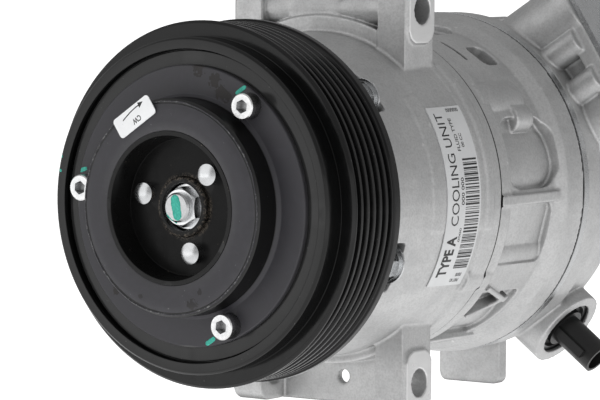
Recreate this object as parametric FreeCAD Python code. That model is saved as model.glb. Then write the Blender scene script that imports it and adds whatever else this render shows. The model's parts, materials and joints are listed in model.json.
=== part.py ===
import FreeCAD, Part
import math
import os

from FreeCAD import Vector

os.makedirs("parts", exist_ok=True)

# An externally controlled, variable displacement, swash-plate air-conditioning compressor with a damped
# pulley and no clutch. Millimetres. The shaft turns about Y, +Z is up, the pulley faces -Y, and the origin
# is on the shaft axis in the middle plane of the belt grooves. Angles run from +X towards +Z.

# Belt pulley
PULLEY_R = 60.0
GROOVE_COUNT = 6
GROOVE_PITCH = 3.56
GROOVE_TIP_R = 59.3
GROOVE_DEPTH = 2.85
GROOVE_ROOT_HALF = 0.25
GROOVE_FLANK_DEG = 20.0
RIM_FRONT, RIM_REAR = -12.7, 14.3
RING_FRONT, RING_R, RING_IN_R = -20.0, 54.8, 51.0
WEB_FRONT, WEB_REAR = -17.7, -12.9

# Double-row pulley bearing, 35 x 52 x 20
NOSE_R = 17.5
BEARING_R = 26.0
BEARING_FRONT, BEARING_REAR = -9.7, 10.3
BALL_R, BALL_PITCH_R, BALLS_PER_ROW = 2.9, 21.75, 14
BALL_ROWS = (-4.7, 5.3)

# Damped hub
PLATE_FRONT, PLATE_R = -19.7, 45.8
SHELL_R, SHELL_WALL, SHELL_FRONT = 35.3, 1.5, -30.1
CUP_R, CUP_LIP, CUP_FRONT = 24.9, 1.5, -30.7
FLOOR_FRONT, FLOOR_REAR, FLOOR_R = -21.7, -19.2, 22.3
COLLAR_R, COLLAR_FRONT = 9.8, -23.7
RIVET_R, RIVET_PITCH_R, RIVET_FRONT, RIVET_DEG = 3.5, 15.3, -25.4, 45.6
SCREW_HEAD_R, SCREW_PITCH_R, SCREW_HEAD_H, SCREW_DEG = 4.25, 41.2, 5.0, 53.8
NUT_FLATS, NUT_FRONT, NUT_SEAT = 11.5, -24.7, -19.5

# Shaft
SHAFT_R, SPLINE_R, THREAD_R = 8.0, 7.0, 4.85
SHAFT_FRONT, SHAFT_REAR = -26.7, 112.0
RUNNING_GAP = 0.1

# Casings: stations along the axis and radii
WALL_FRONT, WALL_REAR = 20.3, 34.3
JOINT_BLOCK, JOINT_PLATE, JOINT_HEAD, HEAD_BACK = 80.7, 128.1, 132.3, 169.3
JOINT_BLOCK_R, JOINT_PLATE_R, HEAD_R = 56.1, 60.4, 60.2
CRANKCASE_R = 50.0

# Five through bolts, M8, between five cylinders
BOLT_COUNT, BOLT_PITCH_R, BOLT_DEG, BOLT_R, BOLT_HOLE_R = 5, 46.0, 47.0, 4.0, 4.4
POCKET_FLOOR, POCKET_R, BOLT_HEAD = 33.3, 9.0, 8.0
CYLINDER_COUNT, CYLINDER_PITCH_R, CYLINDER_DEG, CYLINDER_R = 5, 31.0, 11.0, 16.0
PISTON_R = 15.9

# Swash plate at its smallest angle, square to the shaft
SWASH_MID, SWASH_HALF, SWASH_R, SHOE_R = 57.5, 3.5, 39.0, 7.0
LUG_PLATE_R, LUG_PLATE_FRONT, LUG_PLATE_REAR = 32.0, 38.6, 46.0
HINGE_R, HINGE_BACK, HINGE_Z = 2.0, 3.2, 16.0

# Mounting ears: bores along X above and below the front housing
EAR_Y, EAR_Z, EAR_HALF_Y, EAR_IN, EAR_OUT, EAR_TOP = 62.3, 62.7, 8.75, 23.5, 36.0, 72.7
EAR_BORE_R, SLEEVE_R = 4.75, 7.2
EAR_WEB_FRONT, EAR_WEB_REAR = 68.0, 71.05

# Type label on the side of the front housing
LABEL_REAR, LABEL_LOW_DEG, LABEL_HIGH_DEG = 68.7, -31.4, 33.8

# Ports, control valve and lug on the rear head
PORT_TURN, PORT_Y, PORT_FACE = 57.26, 151.5, 75.5
SUCTION_X, DISCHARGE_X, PORT_BOLT_X = -25.5, 9.0, -6.5
FLANGE_LEFT, FLANGE_RIGHT = -41.0, 23.0
SUCTION_R, DISCHARGE_R = 9.5, 7.0
VALVE_TURN, VALVE_X, VALVE_Y, VALVE_FACE = 127.0, 17.6, 152.3, 63.1
VALVE_BOSS_R, VALVE_BORE_R = 14.7, 10.75
PLUG_R, PLUG_END, SOCKET_R, SOCKET_DEPTH = 5.6, 79.2, 4.5, 13.0
RELIEF_X, RELIEF_Z = -25.0, 25.0

ORIGIN = Vector(0, 0, 0)
AXIS_Y = Vector(0, 1, 0)


# ---------------------------------------------------------------- helpers
def turned(shape, degrees):
    """The shape turned about the shaft by an angle from +X towards +Z."""
    copy = shape.copy()
    copy.rotate(ORIGIN, Vector(0, -1, 0), degrees)
    return copy


def around(shape, count, first_deg):
    """Copies of a shape that stands on +X, evenly spaced about the shaft."""
    return [turned(shape, first_deg + 360.0 * i / count) for i in range(count)]


def revolved(profile):
    """A solid of revolution about the shaft from (y, r) corners."""
    wire = Part.makePolygon([Vector(r, y, 0) for y, r in profile + profile[:1]])
    return Part.Face(wire).revolve(ORIGIN, AXIS_Y, 360)


def rod(radius, y0, y1, x=0.0, z=0.0):
    """A cylinder along Y."""
    return Part.makeCylinder(radius, y1 - y0, Vector(x, y0, z), AXIS_Y)


def tube(outer, inner, y0, y1):
    """A ring about the shaft."""
    return rod(outer, y0, y1).cut(rod(inner, y0 - 1, y1 + 1))


def box(x0, x1, y0, y1, z0, z1):
    return Part.makeBox(x1 - x0, y1 - y0, z1 - z0, Vector(x0, y0, z0))


def fused(shapes):
    return shapes[0].multiFuse(shapes[1:]).removeSplitter()


def prism(corners, y0, y1):
    """A straight solid along Y from (x, z) corners."""
    wire = Part.makePolygon([Vector(x, y0, z) for x, z in corners + corners[:1]])
    return Part.Face(wire).extrude(Vector(0, y1 - y0, 0))


def hexagon(flats, y0, y1, x=0.0):
    """A hexagonal bar along Y."""
    corner = flats / math.sqrt(3)
    turns = [math.radians(60 * i + 30) for i in range(6)]
    return prism([(x + corner * math.cos(a), corner * math.sin(a)) for a in turns], y0, y1)


def sector(r0, r1, deg0, deg1, y0, y1):
    """Part of a ring between two angles, from +X towards +Z."""
    face = Part.Face(Part.makePolygon([
        Vector(r0, y0, 0), Vector(r1, y0, 0), Vector(r1, y1, 0), Vector(r0, y1, 0), Vector(r0, y0, 0)]))
    return turned(face.revolve(ORIGIN, Vector(0, -1, 0), deg1 - deg0), deg0)


def upright(radius, z0, z1, x, y):
    """A cylinder along local Z, for the pieces that are built upright and then leaned."""
    return Part.makeCylinder(radius, z1 - z0, Vector(x, y, z0))


def leaned(shape, degrees):
    """A shape built upright, leaned about the shaft from +Z towards +X."""
    copy = shape.copy()
    copy.rotate(ORIGIN, AXIS_Y, degrees)
    return copy


def coil(wire_r, mean_r, length, turns):
    """A round-wire compression spring along Z from the origin."""
    path = Part.Wire(Part.makeHelix(length / turns, length, mean_r))
    section = Part.Wire(Part.makeCircle(wire_r, Vector(mean_r, 0, 0), AXIS_Y))
    return path.makePipeShell([section], True, True)


def round_edges(shape, radius, wanted):
    """Fillets the edges that the test picks out, and keeps the sharp shape where one can't be made."""
    edges = [e for e in shape.Edges if wanted(e)]
    try:
        soft = shape.makeFillet(radius, edges)
        return soft if soft.isValid() else shape
    except Part.OCCError:
        return shape


def save(name, *shapes):
    solids = [solid for shape in shapes for solid in shape.Solids]
    whole = solids[0] if len(solids) == 1 else Part.makeCompound(solids)
    whole.exportStep("parts/" + name + ".step")


# ---------------------------------------------------------------- pulley and its bearing
def groove_profile():
    """The rim's V grooves from front to rear, as (y, r) corners."""
    root_r = GROOVE_TIP_R - GROOVE_DEPTH
    top_half = GROOVE_ROOT_HALF + GROOVE_DEPTH * math.tan(math.radians(GROOVE_FLANK_DEG))
    corners = []
    for i in range(GROOVE_COUNT):
        middle = (i - (GROOVE_COUNT - 1) / 2) * GROOVE_PITCH
        corners += [
            (middle - top_half, GROOVE_TIP_R), (middle - GROOVE_ROOT_HALF, root_r),
            (middle + GROOVE_ROOT_HALF, root_r), (middle + top_half, GROOVE_TIP_R)]
    return corners


def pulley():
    band = GROOVE_COUNT * GROOVE_PITCH / 2
    body = revolved([
        (WEB_FRONT, 24.5), (WEB_FRONT, 50.4), (WEB_FRONT + 1.0, 50.4), (WEB_FRONT + 1.0, RING_IN_R),
        (RING_FRONT, RING_IN_R), (RING_FRONT, RING_R - 0.8), (RING_FRONT + 0.8, RING_R),
        (RIM_FRONT, RING_R), (RIM_FRONT, PULLEY_R - 0.9), (RIM_FRONT + 0.9, PULLEY_R),
        (-band - 0.3, PULLEY_R), (-band, GROOVE_TIP_R)] + groove_profile() + [
        (band, GROOVE_TIP_R), (band + 0.3, PULLEY_R), (RIM_REAR - 0.8, PULLEY_R), (RIM_REAR, PULLEY_R - 0.8),
        (RIM_REAR, 53.0), (-8.0, 52.0), (WEB_REAR, 47.5), (WEB_REAR, 32.5), (-11.0, 30.5),
        (11.8, 30.5), (11.8, BEARING_R), (BEARING_FRONT, BEARING_R), (BEARING_FRONT, 24.5)])
    threads = around(rod(2.5, WEB_FRONT - 1, WEB_REAR + 1, SCREW_PITCH_R), 3, SCREW_DEG)
    return body.cut(threads)


def raceways():
    return [Part.makeTorus(BALL_PITCH_R, BALL_R + 0.12, Vector(0, y, 0), AXIS_Y) for y in BALL_ROWS]


def pulley_bearing():
    save("bearing_outer_ring", tube(BEARING_R, 23.4, BEARING_FRONT, BEARING_REAR).cut(raceways()))
    save("bearing_inner_ring", tube(20.1, NOSE_R, BEARING_FRONT, BEARING_REAR).cut(raceways()))
    balls, windows = [], []
    for y in BALL_ROWS:
        centre = Vector(BALL_PITCH_R, y, 0)
        balls += around(Part.makeSphere(BALL_R, centre), BALLS_PER_ROW, 0)
        window = Part.makeCylinder(BALL_R + 0.15, 6, Vector(BALL_PITCH_R - 3, y, 0), Vector(1, 0, 0))
        windows += around(window, BALLS_PER_ROW, 0)
    save("bearing_balls", *balls)
    save("bearing_cage", tube(22.5, 21.0, BALL_ROWS[0] - 2.6, BALL_ROWS[1] + 2.6).cut(windows))
    save("bearing_seals", tube(23.4, 20.5, BEARING_FRONT + 0.1, BEARING_FRONT + 0.9),
         tube(23.4, 20.5, BEARING_REAR - 0.9, BEARING_REAR - 0.1))
    clip = tube(19.6, 16.6, BEARING_FRONT - 1.4, BEARING_FRONT)
    save("bearing_snap_ring", clip.cut(box(10, 30, -20, 0, -3, 3)))


# ---------------------------------------------------------------- damped hub
def drive_plate():
    """The flange that the three screws hold, and the shell that holds the rubber."""
    inner = SHELL_R - SHELL_WALL
    body = revolved([
        (WEB_FRONT, inner), (WEB_FRONT, PLATE_R), (PLATE_FRONT + 0.4, PLATE_R), (PLATE_FRONT, PLATE_R - 0.4),
        (PLATE_FRONT, SHELL_R + 1.2), (PLATE_FRONT - 1.2, SHELL_R), (SHELL_FRONT + 0.8, SHELL_R),
        (SHELL_FRONT, SHELL_R - 0.8), (SHELL_FRONT, inner)])
    return body.cut(around(rod(2.5, WEB_FRONT - 9, WEB_FRONT + 1, SCREW_PITCH_R), 3, SCREW_DEG))


def damper_rubber():
    outer = SHELL_R - SHELL_WALL
    return revolved([
        (SHELL_FRONT - 0.1, outer), (SHELL_FRONT - 0.9, outer - 2.2), (CUP_FRONT - 0.5, CUP_R + 1.8),
        (CUP_FRONT + 0.2, CUP_R), (FLOOR_REAR, CUP_R), (WEB_FRONT - 2.2, outer)])


def inner_cup():
    body = revolved([
        (CUP_FRONT, CUP_R - CUP_LIP), (CUP_FRONT, CUP_R), (FLOOR_REAR, CUP_R), (FLOOR_REAR, COLLAR_R),
        (FLOOR_FRONT, COLLAR_R), (FLOOR_FRONT, FLOOR_R)])
    return body.cut(around(rod(2.5, CUP_FRONT, 0, RIVET_PITCH_R), 3, RIVET_DEG))


def hub_boss():
    body = revolved([
        (COLLAR_FRONT, 7.8), (COLLAR_FRONT, COLLAR_R - 0.5), (COLLAR_FRONT + 0.5, COLLAR_R),
        (FLOOR_REAR, COLLAR_R), (FLOOR_REAR, 20.5), (FLOOR_REAR + 3, 20.5), (FLOOR_REAR + 3, 11.5),
        (-6.0, 11.5), (-6.0, SPLINE_R), (NUT_SEAT, SPLINE_R), (NUT_SEAT, 7.8)])
    return body.cut(around(rod(2.5, CUP_FRONT, 0, RIVET_PITCH_R), 3, RIVET_DEG))


def hub_rivet():
    """A rivet on +X through the cup floor and the hub flange, domed in front."""
    back = FLOOR_REAR + 3
    dome = Part.makeSphere(9.0, Vector(RIVET_PITCH_R, RIVET_FRONT + 9.0, 0))
    head = rod(RIVET_R, RIVET_FRONT - 1, FLOOR_FRONT, RIVET_PITCH_R).common(dome)
    shank = rod(2.5, FLOOR_FRONT, back, RIVET_PITCH_R)
    return fused([head, shank, rod(3.8, back, back + 1.5, RIVET_PITCH_R)])


def drive_screw():
    """A socket-head screw on +X through the drive plate into the pulley web."""
    top = PLATE_FRONT - SCREW_HEAD_H
    head = Part.makeCylinder(SCREW_HEAD_R, SCREW_HEAD_H, Vector(SCREW_PITCH_R, top, 0), AXIS_Y)
    head = head.makeChamfer(0.35, [e for e in head.Edges if e.BoundBox.YMax < top + 0.1])
    head = head.cut(hexagon(4.0, top - 1, top + 2.6, SCREW_PITCH_R))
    return head.fuse(rod(2.5, PLATE_FRONT, WEB_REAR + 1.5, SCREW_PITCH_R)).removeSplitter()


def hub_nut():
    body = hexagon(NUT_FLATS, NUT_FRONT, NUT_SEAT)
    chamfer = revolved([(NUT_FRONT, 0.0), (NUT_FRONT, 5.75), (NUT_FRONT + 0.9, 6.9), (NUT_SEAT, 6.9),
                        (NUT_SEAT, 0.0)])
    return fused([body.common(chamfer), rod(7.3, NUT_SEAT - 1.2, NUT_SEAT)]).cut(rod(THREAD_R, -40, 0))


def direction_label():
    """The rounded sticker on the damper's face."""
    front = CUP_FRONT - 0.95
    sheet = Part.makeBox(16.7, 0.3, 6.9, Vector(-8.35, front, -3.45))
    sheet = sheet.makeFillet(1.2, [e for e in sheet.Edges if e.Length < 0.35])
    sheet.rotate(Vector(0, 0, 0), AXIS_Y, -34)
    sheet.translate(Vector(-13.2, 0, 29.0))
    return sheet


def damped_hub():
    save("drive_plate", drive_plate())
    save("damper_rubber", damper_rubber())
    save("inner_cup", inner_cup())
    save("hub_boss", hub_boss())
    save("hub_rivets", *around(hub_rivet(), 3, RIVET_DEG))
    save("drive_screws", *around(drive_screw(), 3, SCREW_DEG))
    save("hub_nut", hub_nut())
    save("direction_label", direction_label())


# ---------------------------------------------------------------- shaft, swash plate and their bearings
def shaft():
    return revolved([
        (SHAFT_FRONT, 0), (SHAFT_FRONT, THREAD_R - 0.6), (SHAFT_FRONT + 0.6, THREAD_R), (NUT_SEAT, THREAD_R),
        (NUT_SEAT, SPLINE_R), (-5.0, SPLINE_R), (-4.5, SHAFT_R), (SHAFT_REAR - 1, SHAFT_R),
        (SHAFT_REAR, SHAFT_R - 1), (SHAFT_REAR, 0)])


def lug_plate():
    """The disc pressed on the shaft, with two arms that carry the hinge pin and a counterweight."""
    disc = revolved([
        (LUG_PLATE_FRONT, SHAFT_R), (LUG_PLATE_FRONT, LUG_PLATE_R), (LUG_PLATE_REAR - 2, LUG_PLATE_R),
        (LUG_PLATE_REAR, LUG_PLATE_R - 2), (LUG_PLATE_REAR, SHAFT_R)])
    arms = [box(x, x + 4, LUG_PLATE_REAR - 1, LUG_PLATE_REAR + 6, 12.5, 19.5) for x in (-9, 5)]
    pin_hole = Part.makeCylinder(HINGE_R, 40, Vector(-20, LUG_PLATE_REAR + HINGE_BACK, HINGE_Z), Vector(1, 0, 0))
    weight = sector(22, 31, 225, 315, LUG_PLATE_REAR - 1, LUG_PLATE_REAR + 1)
    return fused([disc] + arms + [weight]).cut(pin_hole)


def swash_plate():
    front, rear = SWASH_MID - SWASH_HALF, SWASH_MID + SWASH_HALF
    body = revolved([
        (front, 16), (front, SWASH_R), (rear, SWASH_R), (rear, 15), (rear + 4, 15), (rear + 4, SHAFT_R + RUNNING_GAP),
        (front - 1.5, SHAFT_R + RUNNING_GAP), (front - 1.5, 16)])
    tongue = box(-4.7, 4.7, LUG_PLATE_REAR + 0.7, front + 1, 12.5, 19.5)
    pin_hole = Part.makeCylinder(HINGE_R, 40, Vector(-20, LUG_PLATE_REAR + HINGE_BACK, HINGE_Z), Vector(1, 0, 0))
    return body.fuse(tongue).removeSplitter().cut(pin_hole)


def needles(ring_r, needle_r, count, y0, y1):
    return around(rod(needle_r, y0, y1, ring_r), count, 0)


def rotating_group():
    save("shaft", shaft())
    save("lug_plate", lug_plate())
    save("swash_plate", swash_plate())
    pin_start = Vector(-9.5, LUG_PLATE_REAR + HINGE_BACK, HINGE_Z)
    save("hinge_pin", Part.makeCylinder(HINGE_R, 19, pin_start, Vector(1, 0, 0)))
    spring = coil(0.8, 10.5, 4.6, 2)
    spring.rotate(ORIGIN, Vector(1, 0, 0), -90)
    spring.translate(Vector(0, LUG_PLATE_REAR + 0.9, 0))
    save("return_spring", spring)
    save("shaft_stop_ring", tube(10.5, SHAFT_R, 66.5, 68.5))
    save("thrust_race_front", tube(26, 13, WALL_REAR, WALL_REAR + 1))
    roller = Part.makeCylinder(0.95, 8, Vector(15.5, WALL_REAR + 2.15, 0), Vector(1, 0, 0))
    rollers = around(roller, 24, 0)
    cage = tube(25, 14, WALL_REAR + 1.7, WALL_REAR + 2.6).cut(around(box(15.3, 23.7, 30, 45, -1.05, 1.05), 24, 0))
    save("thrust_bearing", cage, *rollers)
    save("thrust_race_rear", tube(26, 13, LUG_PLATE_FRONT - 1, LUG_PLATE_FRONT))
    save("front_needle_bearing", tube(12, 10.6, 12, 30), *needles(9.35, 1.2, 20, 13, 29))
    save("rear_needle_bearing", tube(12, 10.6, 84, 102), *needles(9.35, 1.2, 20, 85, 101))


# ---------------------------------------------------------------- pistons
def piston():
    """A piston on +X: the head fills its cylinder and the tail reaches round the swash plate's rim."""
    axis_x = CYLINDER_PITCH_R
    body = rod(PISTON_R, 47.8, 127.3, axis_x)
    cuts = [
        rod(22.0, 40, 76),
        rod(SWASH_R + 1.5, SWASH_MID - 4.3, SWASH_MID + 4.3),
        Part.makeSphere(SHOE_R + 0.05, Vector(axis_x, SWASH_MID, 0)),
        sector(0, 40, -60, 60, 67.0, 76.0),
        rod(11.5, 84, 120, axis_x),
    ]
    grooves = [rod(PISTON_R + 1, y, y + 1.2, axis_x).cut(rod(PISTON_R - 0.8, y - 1, y + 3, axis_x))
               for y in (118.0, 122.0)]
    return body.cut(cuts + grooves)


def shoe_pair():
    """Two half-balls on +X, flat against the swash plate."""
    ball = Part.makeSphere(SHOE_R, Vector(CYLINDER_PITCH_R, SWASH_MID, 0))
    gap = SWASH_HALF + 0.15
    return ball.cut(box(0, 60, SWASH_MID - gap, SWASH_MID + gap, -20, 20))


def pistons():
    shapes = around(piston(), CYLINDER_COUNT, CYLINDER_DEG)
    for number in range(CYLINDER_COUNT):
        save("piston_%d" % (number + 1), shapes[number])
    save("piston_shoes", *around(shoe_pair(), CYLINDER_COUNT, CYLINDER_DEG))


# ---------------------------------------------------------------- front housing
def ear_pair(side):
    """The two bored ears above (side 1) or below (side -1) the housing, with their raised end faces."""
    solids = []
    for hand in (1, -1):
        x0, x1 = sorted((hand * EAR_IN, hand * (EAR_OUT - 1.2)))
        z0, z1 = sorted((side * 36.0, side * EAR_TOP))
        ear = box(x0, x1, EAR_Y - EAR_HALF_Y, EAR_Y + EAR_HALF_Y, z0, z1)
        ear = round_edges(ear, 5.0, lambda e: abs(e.BoundBox.ZMin - side * EAR_TOP) < 0.01 and e.BoundBox.XLength > 5)
        x0, x1 = sorted((hand * (EAR_OUT - 2.0), hand * EAR_OUT))
        z0, z1 = sorted((side * 51.5, side * EAR_TOP))
        face = box(x0, x1, EAR_Y - 7.6, EAR_Y + 7.6, z0, z1)
        face = round_edges(face, 5.0, lambda e: e.BoundBox.YLength < 0.01 and e.BoundBox.ZLength < 0.01)
        solids += [ear, face]
    return solids


def ear_bridge(side):
    """The web behind two ears, with a drain hole below, and a bored block and sleeves in front of it above."""
    z0, z1 = sorted((side * 36.0, side * EAR_TOP))
    web = box(-EAR_IN - 1, EAR_IN + 1, EAR_WEB_FRONT, EAR_WEB_REAR, z0, z1)
    if side < 0:
        return [web.cut(rod(2.3, EAR_Y, EAR_Y + 12, 1.1, -63.5))]
    block = box(-14.4, 8.7, 55.2, EAR_WEB_FRONT + 1, 45, EAR_TOP)
    block = round_edges(block, 2.0, lambda e: e.BoundBox.ZLength > 5)
    sleeve = Part.makeCylinder(SLEEVE_R, 2 * EAR_IN + 2, Vector(-EAR_IN - 1, EAR_Y, EAR_Z), Vector(1, 0, 0))
    return [web, block, sleeve]


def housing_skin():
    """The outer form: nose, shoulder and barrel, filled solid inside the shoulder."""
    return revolved([
        (-12.0, 0), (-12.0, NOSE_R), (WALL_FRONT, NOSE_R), (WALL_FRONT, 40.0), (22.3, 46.5), (25.3, 49.5),
        (37.3, 51.8), (49.3, 54.7), (66.0, 55.3), (72.0, 55.5), (72.0, 56.3), (JOINT_BLOCK, 56.6), (JOINT_BLOCK, 0)])


def housing_hollow():
    return revolved([
        (-13.0, 0), (-13.0, 13.5), (7.0, 13.5), (7.0, 10.0), (10.0, 10.0), (10.0, 12.0), (WALL_REAR, 12.0),
        (WALL_REAR, 33.5), (39.3, 37.5), (39.3, 45.0), (46.0, 46.5), (51.0, CRANKCASE_R),
        (JOINT_BLOCK + 1, CRANKCASE_R), (JOINT_BLOCK + 1, 0)])


def bolt_pocket():
    """A pocket on +X that is open to the front and to the side, round one bolt head."""
    hollow = rod(POCKET_R, 15, POCKET_FLOOR, BOLT_PITCH_R)
    return hollow.fuse(box(BOLT_PITCH_R, 70, 15, POCKET_FLOOR, -POCKET_R, POCKET_R))


def front_housing():
    bosses = around(rod(6.2, 38.0, JOINT_BLOCK, BOLT_PITCH_R), BOLT_COUNT, BOLT_DEG)
    lug = turned(rod(6.5, LABEL_REAR + 1.8, JOINT_BLOCK, 50.8), -31)
    flares = [sector(47, 60.5, 64, 116, EAR_Y - 8.0, EAR_Y + 8.0), sector(47, 58.0, 244, 296, EAR_Y - 6.0, EAR_Y + 8.0)]
    rib = sector(50, 57.2, 196, 199, 40, JOINT_BLOCK)
    solids = [housing_skin()] + ear_pair(1) + ear_pair(-1) + ear_bridge(1) + ear_bridge(-1) + flares + [lug, rib]
    body = fused(solids)
    body = body.cut([housing_hollow()] + around(bolt_pocket(), BOLT_COUNT, BOLT_DEG))
    body = fused([body] + bosses)
    cuts = around(rod(BOLT_HOLE_R, 20, JOINT_BLOCK + 1, BOLT_PITCH_R), BOLT_COUNT, BOLT_DEG)
    for z in (EAR_Z, -EAR_Z):
        cuts.append(Part.makeCylinder(EAR_BORE_R, 90, Vector(-45, EAR_Y, z), Vector(1, 0, 0)))
    cuts.append(tube(20, 16.6, BEARING_FRONT - 1.4, BEARING_FRONT))
    cuts.append(tube(14.4, 13.0, -5.3, -4.0))
    return body.cut(cuts)


# ---------------------------------------------------------------- cylinder block
def pocket(degrees, half_width, y0, y1, floor, corner):
    """A shallow flat-floored recess in the block's side, centred on an angle, with rounded corners."""
    hollow = box(floor, 70, y0, y1, -half_width, half_width)
    hollow = round_edges(hollow, corner, lambda e: e.BoundBox.XLength > 5)
    return turned(hollow, degrees)


def block_skin():
    """Two rims with shallow pockets between them, over five cylinder barrels, with bosses and ribs."""
    skin = revolved([
        (JOINT_BLOCK, 0), (JOINT_BLOCK, JOINT_BLOCK_R), (JOINT_BLOCK + 6.0, 56.6), (JOINT_BLOCK + 7.5, 55.0),
        (JOINT_PLATE - 12.0, 55.6), (JOINT_PLATE - 8.0, 59.0), (JOINT_PLATE, JOINT_PLATE_R), (JOINT_PLATE, 0)])
    front = JOINT_BLOCK + 7.3
    recesses = [pocket(*sizes) for sizes in (
        (14.8, 12.5, front, 118.0, 51.2, 8.0), (-15.0, 10.6, front, 115.5, 52.8, 3.0),
        (57.0, 5.5, 104.5, 114.0, 51.0, 3.0), (86.0, 11.0, front, 117.0, 51.2, 4.0),
        (113.0, 10.0, front, 114.0, 52.0, 3.0), (146.0, 13.0, front, 117.0, 51.2, 4.0),
        (182.0, 12.0, front, 115.5, 52.5, 3.0), (216.0, 13.0, front, 117.0, 51.2, 4.0),
        (244.0, 9.0, front, 112.0, 52.0, 3.0), (276.0, 12.0, front, 117.0, 51.2, 4.0),
        (308.0, 13.0, front, 114.0, 51.8, 3.0))]
    slot = sector(52.8, 60, 55, 69, 96.6, 98.4)
    barrels = around(rod(22.4, JOINT_BLOCK, JOINT_PLATE - 4, CYLINDER_PITCH_R), CYLINDER_COUNT, CYLINDER_DEG)
    bolt_walls = around(rod(8.4, JOINT_BLOCK, JOINT_PLATE - 4, BOLT_PITCH_R), BOLT_COUNT, BOLT_DEG)
    side_boss = rod(8.8, JOINT_BLOCK + 3, 111.5, 48.4)
    side_boss = round_edges(side_boss, 3.0, lambda e: e.BoundBox.YMin > 111)
    bosses = [turned(side_boss, degrees) for degrees in (37, 127, 262)]
    tip = rod(4.8, 100.0, 112.0, 52.3)
    tip = turned(round_edges(tip, 3.0, lambda e: e.BoundBox.YMin > 111), 28.5)
    ledge = sector(50, 57.2, -3.4, 0.3, JOINT_BLOCK, JOINT_PLATE - 4)
    ribs = [sector(50, 57.0, a, a + 2.2, JOINT_BLOCK + 2, JOINT_PLATE - 4) for a in (98, 128, 164, 198, 230, 259, 292)]
    veins = []
    for lean in (-22, 22):
        vein = box(50, 56.4, 88, 108, -0.9, 0.9)
        vein.rotate(Vector(55, 106, 0), Vector(1, 0, 0), lean)
        veins.append(turned(vein, -42))
    lug = turned(rod(6.5, JOINT_BLOCK, JOINT_BLOCK + 5, 50.8), -31)
    carved = skin.cut(recesses + [slot])
    return fused([carved, ledge, tip, lug] + barrels + bolt_walls + bosses + ribs + veins)


def cylinder_block():
    cuts = around(rod(CYLINDER_R, 70, 140, CYLINDER_PITCH_R), CYLINDER_COUNT, CYLINDER_DEG)
    cuts += around(rod(BOLT_HOLE_R, 70, 140, BOLT_PITCH_R), BOLT_COUNT, BOLT_DEG)
    cuts += [rod(12, 70, 102), rod(9, 70, 118)]
    return block_skin().cut(cuts)


# ---------------------------------------------------------------- valve plate and reeds
def joint_disc(radius, y0, y1, inner=0.0):
    """A disc between the block and the head, with the bolt holes."""
    disc = rod(radius, y0, y1)
    cuts = around(rod(BOLT_HOLE_R, y0 - 1, y1 + 1, BOLT_PITCH_R), BOLT_COUNT, BOLT_DEG)
    if inner:
        cuts.append(rod(inner, y0 - 1, y1 + 1))
    return disc.cut(cuts)


def reed_star(y0, y1, reach):
    """A hub with one tongue for each cylinder's discharge port."""
    tongue = box(0, reach - 5, y0, y1, -5, 5).fuse(rod(5, y0, y1, reach - 5))
    return fused([rod(12, y0, y1)] + around(tongue, CYLINDER_COUNT, CYLINDER_DEG))


def suction_reed():
    """A spring-steel disc with a U-shaped tongue cut free over each cylinder."""
    y0, y1 = JOINT_PLATE + 0.4, JOINT_PLATE + 0.8
    ring = rod(6.6, y0 - 1, y1 + 1, 38).cut(rod(5.6, y0 - 2, y1 + 2, 38))
    slot = ring.cut(box(20, 38, y0 - 3, y1 + 3, -20, 20))
    sides = [box(24, 38, y0 - 1, y1 + 1, z, z + 1) for z in (-6.6, 5.6)]
    cuts = around(fused([slot] + sides), CYLINDER_COUNT, CYLINDER_DEG)
    cuts += around(rod(4.0, y0 - 1, y1 + 1, 22.5), CYLINDER_COUNT, CYLINDER_DEG)
    return joint_disc(60.2, y0, y1).cut(cuts)


def valve_stack():
    plate0, plate1 = JOINT_PLATE + 0.8, JOINT_HEAD - 0.4
    bores = around(rod(CYLINDER_R + 0.5, 100, 140, CYLINDER_PITCH_R), CYLINDER_COUNT, CYLINDER_DEG)
    save("block_gasket", joint_disc(59.6, JOINT_PLATE, JOINT_PLATE + 0.4).cut(bores))
    save("suction_reed", suction_reed())
    ports = around(rod(3.6, 100, 140, 22.5), CYLINDER_COUNT, CYLINDER_DEG)
    ports += around(rod(4.6, 100, 140, 38.0), CYLINDER_COUNT, CYLINDER_DEG)
    save("valve_plate", joint_disc(60.4, plate0, plate1).cut(ports + [rod(3.0, 100, 140)]))
    save("head_gasket", joint_disc(59.6, plate1, JOINT_HEAD, 53.0),
         tube(36.5, 33.5, plate1, JOINT_HEAD))
    save("discharge_reed", reed_star(plate1, plate1 + 0.3, 28).cut(rod(3.0, 100, 140)))
    save("reed_retainer", reed_star(plate1 + 0.3, plate1 + 2.0, 27).cut(rod(3.0, 100, 140)))
    pin = fused([rod(3.0, plate0, plate1 + 2.0), rod(5.5, plate1 + 2.0, plate1 + 4.5)])
    save("retainer_rivet", pin)


# ---------------------------------------------------------------- rear head
def port_block():
    """The raised block with both ports, upright."""
    suction = upright(15.5, 20, PORT_FACE, SUCTION_X, PORT_Y)
    discharge = upright(13.5, 20, PORT_FACE, DISCHARGE_X, PORT_Y)
    middle = box(SUCTION_X, DISCHARGE_X, PORT_Y - 10, PORT_Y + 10, 30, PORT_FACE)
    flange = box(FLANGE_LEFT, FLANGE_RIGHT, PORT_Y - 14, PORT_Y + 14, PORT_FACE - 7, PORT_FACE)
    flange = round_edges(flange, 8.0, lambda e: e.BoundBox.ZLength > 5)
    ribs = [upright(5.0, 40, PORT_FACE - 4, x, PORT_Y - 12) for x in (-15.5, -0.5)]
    return [suction, discharge, middle, flange] + ribs


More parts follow.
